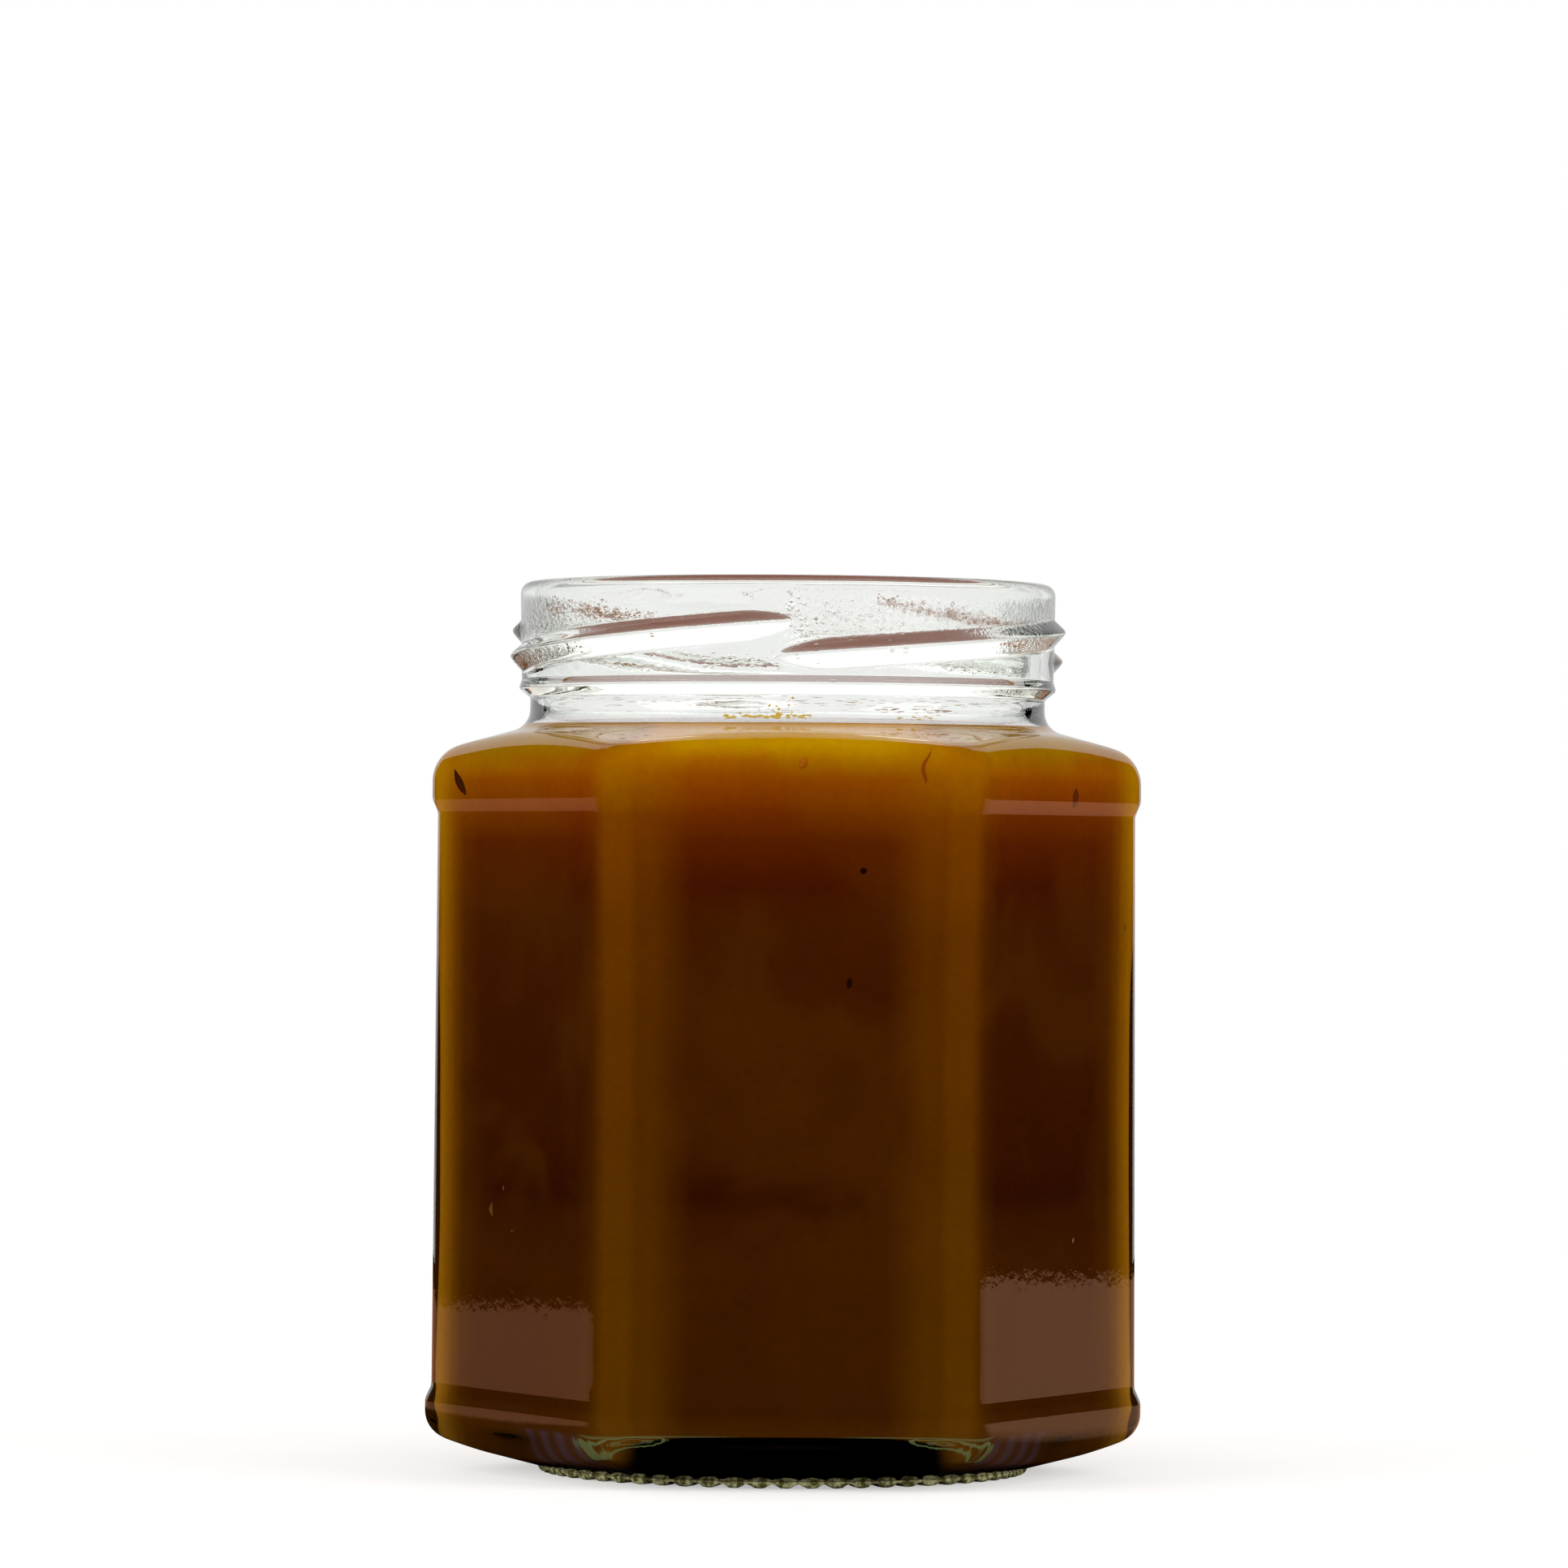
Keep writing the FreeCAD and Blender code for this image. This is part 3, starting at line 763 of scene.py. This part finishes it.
def glass_material():
    """Clear glass with a faint peel and mottled patches on the mouth; soft light passes it."""
    material, n = new_material("clear_glass")
    place = n.place()
    _, _, z = n.split(place)
    mouth = n.math("MULTIPLY", n.smoothstep(z, 91.0 * MM, 93.5 * MM),
                   n.smoothstep(z, 97.0 * MM, 95.0 * MM))
    patches = n.smoothstep(n.noise(place, 70.0, 1.0, 0.5), 0.42, 0.62)
    mottle = n.math("MULTIPLY", n.noise(place, 2200.0, 2.0, 0.6),
                    n.math("MULTIPLY", mouth, patches))
    peel = n.math("MULTIPLY", n.noise(place, 900.0, 2.0, 0.5), 0.06)
    relief = n.math("ADD", peel, n.math("MULTIPLY", mottle, 1.2))
    clear = n.shader("BsdfPrincipled", Base_Color=WHITE, Transmission_Weight=1.0, Roughness=0.0,
                     IOR=GLASS_INDEX, Normal=n.bump(relief, 1.0, 0.0001))
    path = n.add("ShaderNodeLightPath").outputs
    soft = n.math("MAXIMUM", path["Is Shadow Ray"], path["Is Diffuse Ray"])
    volume = n.shader("VolumeAbsorption", Color=GLASS_TINT, Density=GLASS_DENSITY)
    n.finish(n.mix_shader(soft, clear, n.shader("BsdfTransparent")), volume)
    return material


def ring_material():
    """The knurled ring, opaque, with painted glints and shade for the light that its many small
    faces scatter inside the glass: pale spots on a dark olive ground.
    """
    material, n = new_material("knurl_ring_painted_glints")
    # Painted glints: pale spots on a dark olive ground.
    painted_glint = n.smoothstep(n.noise(n.place(), 1500.0, 2.0, 0.6), 0.40, 0.66)
    colour = n.mix(painted_glint, linear(96, 92, 48), linear(214, 210, 160))
    n.finish(n.shader("BsdfPrincipled", Base_Color=colour, Roughness=0.12, IOR=GLASS_INDEX))
    return material


# Painted light on the sauce round the jar, lighter where light comes through it at the corners:
# degrees from the front, either way, and a level.
CORNER_LIGHT = (
    (0.0, 0.0), (18.0, 0.0), (21.3, 0.3), (22.4, 0.43), (24.4, 0.66), (26.8, 0.66), (28.0, 1.0),
    (31.5, 1.0), (34.0, 0.2), (38.0, 0.0), (76.0, 0.0), (82.0, 0.3), (86.0, 1.0), (94.0, 1.0),
    (99.0, 0.0), (141.0, 0.0), (146.0, 0.2), (149.0, 1.0), (153.0, 1.0), (155.0, 0.6),
    (162.0, 0.0), (180.0, 0.0),
)
RIM_LIGHT = (
    (0.0, 0.0), (82.0, 0.0), (85.0, 0.12), (87.5, 0.6), (89.5, 1.0), (90.5, 1.0), (94.0, 0.3),
    (98.0, 0.0), (180.0, 0.0),
)

# Colours up the jar, with painted light and shade: darkest low in the middle, lighter towards the
# heel and the shoulder, and the lit ones for the painted corner light. Height in mm, and screen
# levels.
COLOUR_LOW_Z = 3.0
COLOUR_HIGH_Z = 83.0
DEEP_SHADED_COLOURS = (
    (3.0, (118, 66, 14)), (5.0, (92, 50, 6)), (8.0, (60, 26, 0)), (24.0, (63, 26, 0)),
    (29.0, (58, 22, 0)), (31.5, (49, 13, 0)), (36.0, (56, 18, 0)), (47.0, (59, 20, 0)),
    (61.0, (68, 26, 0)), (65.0, (68, 19, 0)), (69.5, (87, 30, 0)), (73.0, (112, 44, 0)),
    (76.3, (142, 66, 0)), (78.2, (157, 88, 0)), (79.6, (177, 126, 0)), (80.8, (176, 124, 0)),
    (83.0, (158, 104, 0)),
)
OLIVE_COLOURS = (
    (3.0, (118, 66, 14)), (5.0, (92, 50, 6)), (8.0, (62, 28, 0)), (61.0, (72, 32, 1)),
    (69.5, (87, 33, 0)), (76.3, (140, 70, 0)), (79.6, (177, 130, 0)), (80.8, (176, 124, 0)),
    (83.0, (158, 104, 0)),
)
CORNER_LIT_COLOURS = (
    (3.0, (130, 82, 20)), (8.0, (92, 53, 0)), (35.0, (92, 49, 0)), (60.0, (101, 51, 0)),
    (72.0, (122, 62, 0)), (77.0, (154, 92, 0)), (83.0, (166, 112, 0)),
)
RIM_LIT_COLOURS = (
    (3.0, (160, 110, 30)), (20.0, (144, 92, 8)), (60.0, (146, 92, 0)), (83.0, (180, 124, 0)),
)


def sauce_colour_and_light(n, place):
    """Painted light and shade: dark where much sauce lies behind a flat side, lighter at the
    corners and the shoulder where light comes through, with grain and blotches of its own.
    """
    x, y, z = n.split(place)
    beside = n.math("ABSOLUTE", x)
    turn = n.math("ARCTAN2", beside, n.math("MULTIPLY", y, -1.0))
    turn = n.math("MULTIPLY", turn, 1.0 / math.pi)
    height = n.share(z, COLOUR_LOW_Z * MM, COLOUR_HIGH_Z * MM)

    def round_the_jar(levels):
        return n.ramp(turn, [(deg, (level, level, level, 1.0)) for deg, level in levels])

    def up_the_jar(colours):
        return n.ramp(height, [(z_mm, linear(*levels)) for z_mm, levels in colours])

    cloud = n.smoothstep(n.noise(place, 42.0, 3.0, 0.55, 0.6), 0.42, 0.62)
    # Painted shade up the jar, in two tones mixed by a random cloud.
    deep_shade = n.mix(cloud, up_the_jar(DEEP_SHADED_COLOURS), up_the_jar(OLIVE_COLOURS))
    # Painted light at the corners, where light comes through the sauce, and more of it at the side
    # corners.
    body = n.mix(round_the_jar(CORNER_LIGHT), deep_shade, up_the_jar(CORNER_LIT_COLOURS))
    body = n.mix(round_the_jar(RIM_LIGHT), body, up_the_jar(RIM_LIT_COLOURS))
    # Painted shade: from 77 to 80 mm up, the sauce is darkened by 30 % toward black, from the
    # front corners round to the back.
    side_top_shade = n.math("MULTIPLY", n.smoothstep(turn, 27.0 / 180.0, 33.0 / 180.0),
                       n.smoothstep(z, 77.0 * MM, 80.0 * MM))
    body = n.mix(n.math("MULTIPLY", side_top_shade, 0.3), body, BLACK)
    grain = n.math("MULTIPLY_ADD", n.noise(place, 1100.0, 2.0, 0.6), 0.26, 0.87)
    blotch = n.math("MULTIPLY_ADD", n.noise(place, 130.0, 3.0, 0.6), 0.24, 0.88)
    body = n.mix(1.0, body, n.math("MULTIPLY", grain, blotch), blend="MULTIPLY")
    return base_painted_light(n, body, place, beside, y, z, turn)


# Where the painted highlight curls lie on the sauce, in mm.
CURL_X = 16.6
CURL_Z = 5.62
CURL_HALF_WIDTH = 3.2
CURL_HALF_HEIGHT = 0.30
CURL_INNER_SHARE = 0.45
STRIP_TOP_Z = 5.98


def base_painted_light(n, body, place, beside, y, z, turn):
    """Painted shade, highlights and reflection for what the thick glass base shows of the sauce.

    It is painted black low at the front and the back, and far in, with painted pale green
    highlight curls at both ends of the black strips and a painted purple-grey reflection of the
    knurls on the sides.
    """
    # Painted shade: black strips low at the front and the back, and far in, where the base shows
    # only dark.
    lifted = n.math("MULTIPLY_ADD", n.smoothstep(beside, 9.0 * MM, 19.0 * MM), 0.55 * MM, z)
    strip = n.math("MULTIPLY", n.smoothstep(lifted, 6.05 * MM, 5.85 * MM),
                   n.smoothstep(beside, 18.6 * MM, 15.6 * MM))
    far_in = n.math("MULTIPLY", n.smoothstep(n.length(beside, y), 31.0 * MM, 27.0 * MM),
                    n.smoothstep(z, 7.0 * MM, 6.0 * MM))
    body = n.mix(n.math("MAXIMUM", strip, far_in), body, BASE_PAINTED_SHADE)

    # Painted highlights: pale green curls at both ends of the black strips, and a line along their
    # top.
    wander = n.math("MULTIPLY_ADD", n.noise(place, 400.0, 3.0, 0.7), 1.5, -0.75)
    across = n.math("MULTIPLY_ADD", beside, 1.0 / (CURL_HALF_WIDTH * MM),
                    -CURL_X / CURL_HALF_WIDTH)
    upward = n.math("MULTIPLY_ADD", z, 1.0 / (CURL_HALF_HEIGHT * MM),
                    -CURL_Z / CURL_HALF_HEIGHT)
    loop = n.math("ADD", n.length(across, upward), wander)
    outer = n.near(loop, 1.0, 0.20, 0.03)
    inner = n.near(loop, CURL_INNER_SHARE, 0.16, 0.03)
    edge = n.math("MULTIPLY", n.smoothstep(beside, 4.0 * MM, 10.0 * MM),
                  n.smoothstep(beside, 20.8 * MM, 19.8 * MM))
    edge = n.math("MULTIPLY", n.near(z, STRIP_TOP_Z * MM, 0.10 * MM, 0.02 * MM), edge)
    curl_highlight = n.math("MAXIMUM", outer, n.math("MULTIPLY", inner, 0.6))
    curl_highlight = n.math("MAXIMUM", curl_highlight, n.math("MULTIPLY", edge, 0.6))
    body = n.mix(n.math("MULTIPLY", curl_highlight, 0.7), body, linear(126, 142, 92))

    # Painted reflection: a purple-grey striped image of the knurls on the sides.
    knurls = n.math("SINE", n.math("MULTIPLY", turn, KNURLS * math.pi))
    knurl_reflection = n.math("MULTIPLY_ADD", knurls, 0.3, 0.4)
    zone = n.math("MULTIPLY", n.smoothstep(z, 6.1 * MM, 5.5 * MM),
                  n.smoothstep(z, 4.9 * MM, 5.2 * MM))
    sides = n.math("MULTIPLY", n.smoothstep(turn, 35.0 / 180.0, 39.0 / 180.0),
                   n.smoothstep(turn, 62.0 / 180.0, 54.0 / 180.0))
    knurl_reflection = n.math("MULTIPLY", n.math("MULTIPLY", zone, sides), knurl_reflection)
    return n.mix(knurl_reflection, body, linear(96, 74, 84))


def sauce_material():
    """The sauce against the glass."""
    material, n = new_material("amber_sauce")
    sunk_finish(n, sauce_colour_and_light(n, n.place()))
    return material


def sauce_top_material():
    """The wet free surface in the mouth."""
    material, n = new_material("amber_sauce_top")
    place = n.place()
    cloud = n.noise(place, 140.0, 4.0, 0.6, 0.6)
    colour = n.mix(cloud, linear(100, 42, 10), linear(124, 56, 16))
    relief = n.bump(n.noise(place, 260.0, 3.0, 0.6), 0.25, 0.0002)
    n.finish(n.shader("BsdfPrincipled", Base_Color=colour, Roughness=0.08, IOR=SAUCE_INDEX,
                      Normal=relief))
    return material


# ================= stage =================

WORLD_LEVEL = 0.85
MIRROR_LEVEL = 0.72
FLOOR_RADIUS = 0.52
FLOOR_DROP = 0.00002
TABLE_RADIUS = 0.44
TABLE_EDGE = 0.02
TABLE_SHIFT = 0.055
FLOOR_GLOW = 0.45
FLOOR_MATT = (0.62, 0.60, 0.59, 1.0)
# Colours of the painted reflection that mirrors see on the floor, left and right.
PAINTED_REFLECTION_LEFT = (0.51, 0.235, 0.13, 1.0)
PAINTED_REFLECTION_RIGHT = (0.64, 0.35, 0.21, 1.0)
FLAG_LOW = -0.5
FLAG_HIGH = 1.45
FLAG_RADIUS = 1.1
FLAG_ROOF_RADIUS = 1.02 * FLAG_RADIUS
FLAG_THINNED = 0.7
FLAG_START_DEG = -230.0
FLAG_END_DEG = 50.0
FLAG_STEPS = 64
CARD_RADIUS = 0.056
CARD_LOW = 0.0001
CARD_HEIGHT = 0.060
RING_STEPS = 96


def make_world():
    """Soft light on the object, and plain white for the camera, mirrors and clear glass."""
    world = bpy.data.worlds.new("studio")
    bpy.context.scene.world = world
    world.use_nodes = True
    n = Nodes(world.node_tree)
    path = n.add("ShaderNodeLightPath").outputs
    _, _, up = n.split(n.add("ShaderNodeTexCoord").outputs["Generated"])
    through = n.math("MULTIPLY_ADD", n.smoothstep(up, 0.12, 0.5), 0.4, -0.08)
    level = n.math("MULTIPLY_ADD", through, path["Is Transmission Ray"], 1.0)
    outside = n.math("LESS_THAN", path["Transmission Depth"], 0.5)
    mirror = n.math("MULTIPLY", path["Is Glossy Ray"], outside)
    level = n.math("MULTIPLY_ADD", mirror, MIRROR_LEVEL - 1.0, level)
    seen = n.math("MAXIMUM", path["Is Camera Ray"], path["Is Glossy Ray"])
    seen = n.math("MAXIMUM", seen, path["Is Transmission Ray"])
    soft = n.shader("Background", Color=(1.0, 0.985, 0.97, 1.0), Strength=WORLD_LEVEL)
    white = n.shader("Background", Color=WHITE, Strength=level)
    n.finish(n.mix_shader(seen, soft, white), kind="ShaderNodeOutputWorld")


def level_arc(radius, height, count, first_deg, step_deg):
    """Points of a level arc about the axis."""
    bearings = [math.radians(first_deg + step_deg * k) for k in range(count)]
    return [(radius * math.cos(a), radius * math.sin(a), height) for a in bearings]


def make_floor():
    """A pale floor that keeps the shadow; mirrors and glass see parts of it dark. Mirrors see a
    painted reflection on it, a reddish brown glow behind the jar; glass sees painted shade on it
    round the jar, with a pale ring under the knurls.
    """
    verts = [(0, 0, 0)] + level_arc(FLOOR_RADIUS, 0, RING_STEPS, 0.0, 360.0 / RING_STEPS)
    faces = [(0, 1 + i, 1 + (i + 1) % RING_STEPS) for i in range(RING_STEPS)]
    floor = new_mesh("floor", verts, faces)
    floor.location.z = -FLOOR_DROP
    material, n = new_material("pale_floor")
    x, y, _ = n.split(n.place())
    path = n.add("ShaderNodeLightPath").outputs
    from_axis = n.length(x, y)

    glow = n.shader("Emission", Color=WHITE,
                    Strength=n.math("MULTIPLY", path["Is Camera Ray"], FLOOR_GLOW))
    open_floor = n.add("ShaderNodeAddShader")
    n.put(open_floor.inputs[0], n.shader("BsdfDiffuse", Color=FLOOR_MATT))
    n.put(open_floor.inputs[1], glow)

    # Painted reflection: mirrors see the floor glow reddish brown behind the jar, lighter on the
    # right, from further out on the left than on the right, and dark elsewhere.
    behind = n.smoothstep(y, -0.03, 0.03)
    right = n.smoothstep(x, -0.01, 0.01)
    table = n.smoothstep(n.length(n.math("SUBTRACT", x, TABLE_SHIFT), y),
                         TABLE_RADIUS + TABLE_EDGE, TABLE_RADIUS - TABLE_EDGE)
    clear = n.mix(right, n.smoothstep(from_axis, 0.105, 0.135),
                  n.smoothstep(from_axis, 0.042, 0.050))
    painted_reflection = n.shader(
        "Emission", Color=n.mix(right, PAINTED_REFLECTION_LEFT, PAINTED_REFLECTION_RIGHT),
        Strength=n.math("MULTIPLY", n.math("MULTIPLY", clear, behind), table))

    # Painted shade: rays through the glass see the floor dark under and round the jar, with a pale
    # ring under the knurls, and white further out.
    under_ring = n.math("MULTIPLY", n.smoothstep(from_axis, 0.024, 0.027),
                        n.smoothstep(from_axis, 0.036, 0.032))
    beyond = n.smoothstep(from_axis, 0.070, 0.090)
    through_glass_shade = n.shader(
        "Emission", Color=WHITE,
        Strength=n.math("MAXIMUM", n.math("MULTIPLY", under_ring, 0.7), beyond))

    first = n.mix_shader(path["Is Glossy Ray"], open_floor.outputs[0], painted_reflection)
    n.finish(n.mix_shader(path["Is Transmission Ray"], first, through_glass_shade))
    floor.data.materials.append(material)


def hidden_from(piece, *kinds):
    """Makes a piece of the stage invisible to these kinds of ray."""
    for kind in kinds:
        setattr(piece, "visible_" + kind, False)


def upright_band(low_ring, high_ring, closed):
    """Points and faces of an upright band between two level rings."""
    verts = [point for pair in zip(low_ring, high_ring) for point in pair]
    count = len(low_ring)
    faces = []
    for k in range(count if closed else count - 1):
        a, b = 2 * k, 2 * ((k + 1) % count)
        faces.append((a, b, b + 1, a + 1))
    return verts, faces


def make_flag():
    """A black hood that only mirrors see: it leaves them the white backdrop behind the jar."""
    step = (FLAG_END_DEG - FLAG_START_DEG) / FLAG_STEPS
    verts, faces = upright_band(
        level_arc(FLAG_RADIUS, FLAG_LOW, FLAG_STEPS + 1, FLAG_START_DEG, step),
        level_arc(FLAG_RADIUS, FLAG_HIGH, FLAG_STEPS + 1, FLAG_START_DEG, step), False)
    roof = len(verts)
    verts += level_arc(FLAG_ROOF_RADIUS, FLAG_HIGH, FLAG_STEPS, 0.0, 360.0 / FLAG_STEPS)
    faces.append(tuple(range(roof, roof + FLAG_STEPS)))
    flag = new_mesh("flag", verts, faces)
    material, n = new_material("flag_black")
    path = n.add("ShaderNodeLightPath").outputs
    inside = n.math("GREATER_THAN", path["Transmission Depth"], 0.5)
    n.finish(n.mix_shader(n.math("MULTIPLY", inside, FLAG_THINNED),
                          n.shader("BsdfDiffuse", Color=(0.004, 0.004, 0.004, 1.0)),
                          n.shader("BsdfTransparent")))
    flag.data.materials.append(material)
    hidden_from(flag, "camera", "diffuse", "transmission", "shadow")


def make_base_card():
    """A low black ring that only rays through glass see: it keeps the glass base dark."""
    step = 360.0 / RING_STEPS
    verts, faces = upright_band(
        level_arc(CARD_RADIUS, CARD_LOW, RING_STEPS, 0.0, step),
        level_arc(CARD_RADIUS, CARD_HEIGHT, RING_STEPS, 0.0, step), True)
    card = new_mesh("base_card", verts, faces)
    material, n = new_material("card_black")
    n.finish(n.shader("BsdfDiffuse", Color=(0.002, 0.002, 0.002, 1.0)))
    card.data.materials.append(material)
    hidden_from(card, "camera", "diffuse", "glossy", "shadow")


SOFTBOX_SIZE = 0.7
SOFTBOX_POWER = 4.0
SOFTBOX_AIM = (0, 0, 0.05)


def aim(place, target):
    """Rotation that turns -Z from a place to a target."""
    return (Vector(target) - Vector(place)).to_track_quat("-Z", "Y")


def make_lights():
    """Two weak softboxes, left and right, that mirrors do not see."""
    for name, side in (("softbox_left", -1), ("softbox_right", 1)):
        data = bpy.data.lights.new(name, "AREA")
        data.shape = "RECTANGLE"
        data.size = data.size_y = SOFTBOX_SIZE
        data.energy = SOFTBOX_POWER
        lamp = bpy.data.objects.new(name, data)
        bpy.context.scene.collection.objects.link(lamp)
        lamp.location = (0.9 * side, -0.5, 0.75)
        lamp.rotation_euler = aim(lamp.location, SOFTBOX_AIM).to_euler()
        lamp.visible_glossy = False


# ================= camera =================

CAMERA_DISTANCE = 0.880
CAMERA_HEIGHT = 0.0663
CAMERA_YAW_DEG = 0.72
CAMERA_ROLL_DEG = 0.38
CAMERA_TARGET = (-0.00033, 0, 0.0761)
CAMERA_CLIP = 0.01
FOCAL_MM = 182.0
SENSOR_MM = 36.0


def make_camera():
    """The photograph's camera: far off, at two thirds of the jar's height, turned a little."""
    data = bpy.data.cameras.new("camera")
    data.lens = FOCAL_MM
    data.sensor_width = SENSOR_MM
    data.clip_start = CAMERA_CLIP
    camera = bpy.data.objects.new("camera", data)
    bpy.context.scene.collection.objects.link(camera)
    yaw = math.radians(CAMERA_YAW_DEG)
    place = Vector((
        -CAMERA_DISTANCE * math.sin(yaw), -CAMERA_DISTANCE * math.cos(yaw), CAMERA_HEIGHT))
    roll = Matrix.Rotation(math.radians(CAMERA_ROLL_DEG), 3, "Z")
    turned = aim(place, CAMERA_TARGET).to_matrix() @ roll
    camera.matrix_world = Matrix.Translation(place) @ turned.to_4x4()
    bpy.context.scene.camera = camera


# ================= putting it together =================

bpy.context.scene.view_settings.view_transform = "Standard"
make_camera()
make_world()
make_floor()
make_lights()
make_flag()
make_base_card()

RING_FACES_BELOW = (RING_HEIGHT + 0.02) * MM

glass = make_glass()
glass.data.materials.append(glass_material())
glass.data.materials.append(ring_material())
for face in glass.data.polygons:
    if max(glass.data.vertices[v].co.z for v in face.vertices) < RING_FACES_BELOW:
        face.material_index = 1
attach(glass, "root")
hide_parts("glass_jar")

sauce = make_sauce()
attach(sauce, "root")
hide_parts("sauce")

depsgraph = bpy.context.evaluated_depsgraph_get()
sauce_tree = BVHTree.FromObject(sauce, depsgraph)
glass_tree = BVHTree.FromObject(glass, depsgraph)

seeds = speck_piece("sauce_seeds", SEEDS, sauce_tree, (
    speck_material("seed_dark", linear(30, 8, 3)),
    speck_material("seed_sunk", linear(158, 84, 8)),
    speck_material("seed_brown", linear(92, 38, 8)),
    speck_material("seed_side", linear(60, 24, 6))))
threads = speck_piece("sauce_threads", THREADS, sauce_tree, (
    speck_material("thread_brown", linear(132, 56, 8)),))
bubbles = speck_piece("sauce_bubbles", BUBBLES, sauce_tree, (
    speck_material("bubble_olive", linear(100, 66, 20)),
    speck_material("bubble_pale", linear(150, 112, 92))))

smears = drops_piece("neck_smears", "sauce", SMEARS, glass_tree,
                     drop_material("smear_brown", linear(176, 132, 104), 0.55, 0.0), 5)
dew = drops_piece("neck_dew", "glass_jar", DEW, glass_tree,
                  drop_material("dew_clear", linear(244, 244, 240), 0.0, 1.0), 7)
splashes = drops_piece("neck_splashes", "sauce", SPLASHES, glass_tree,
                       drop_material("splash_gold", linear(214, 178, 60), 0.2, 0.0), 9)
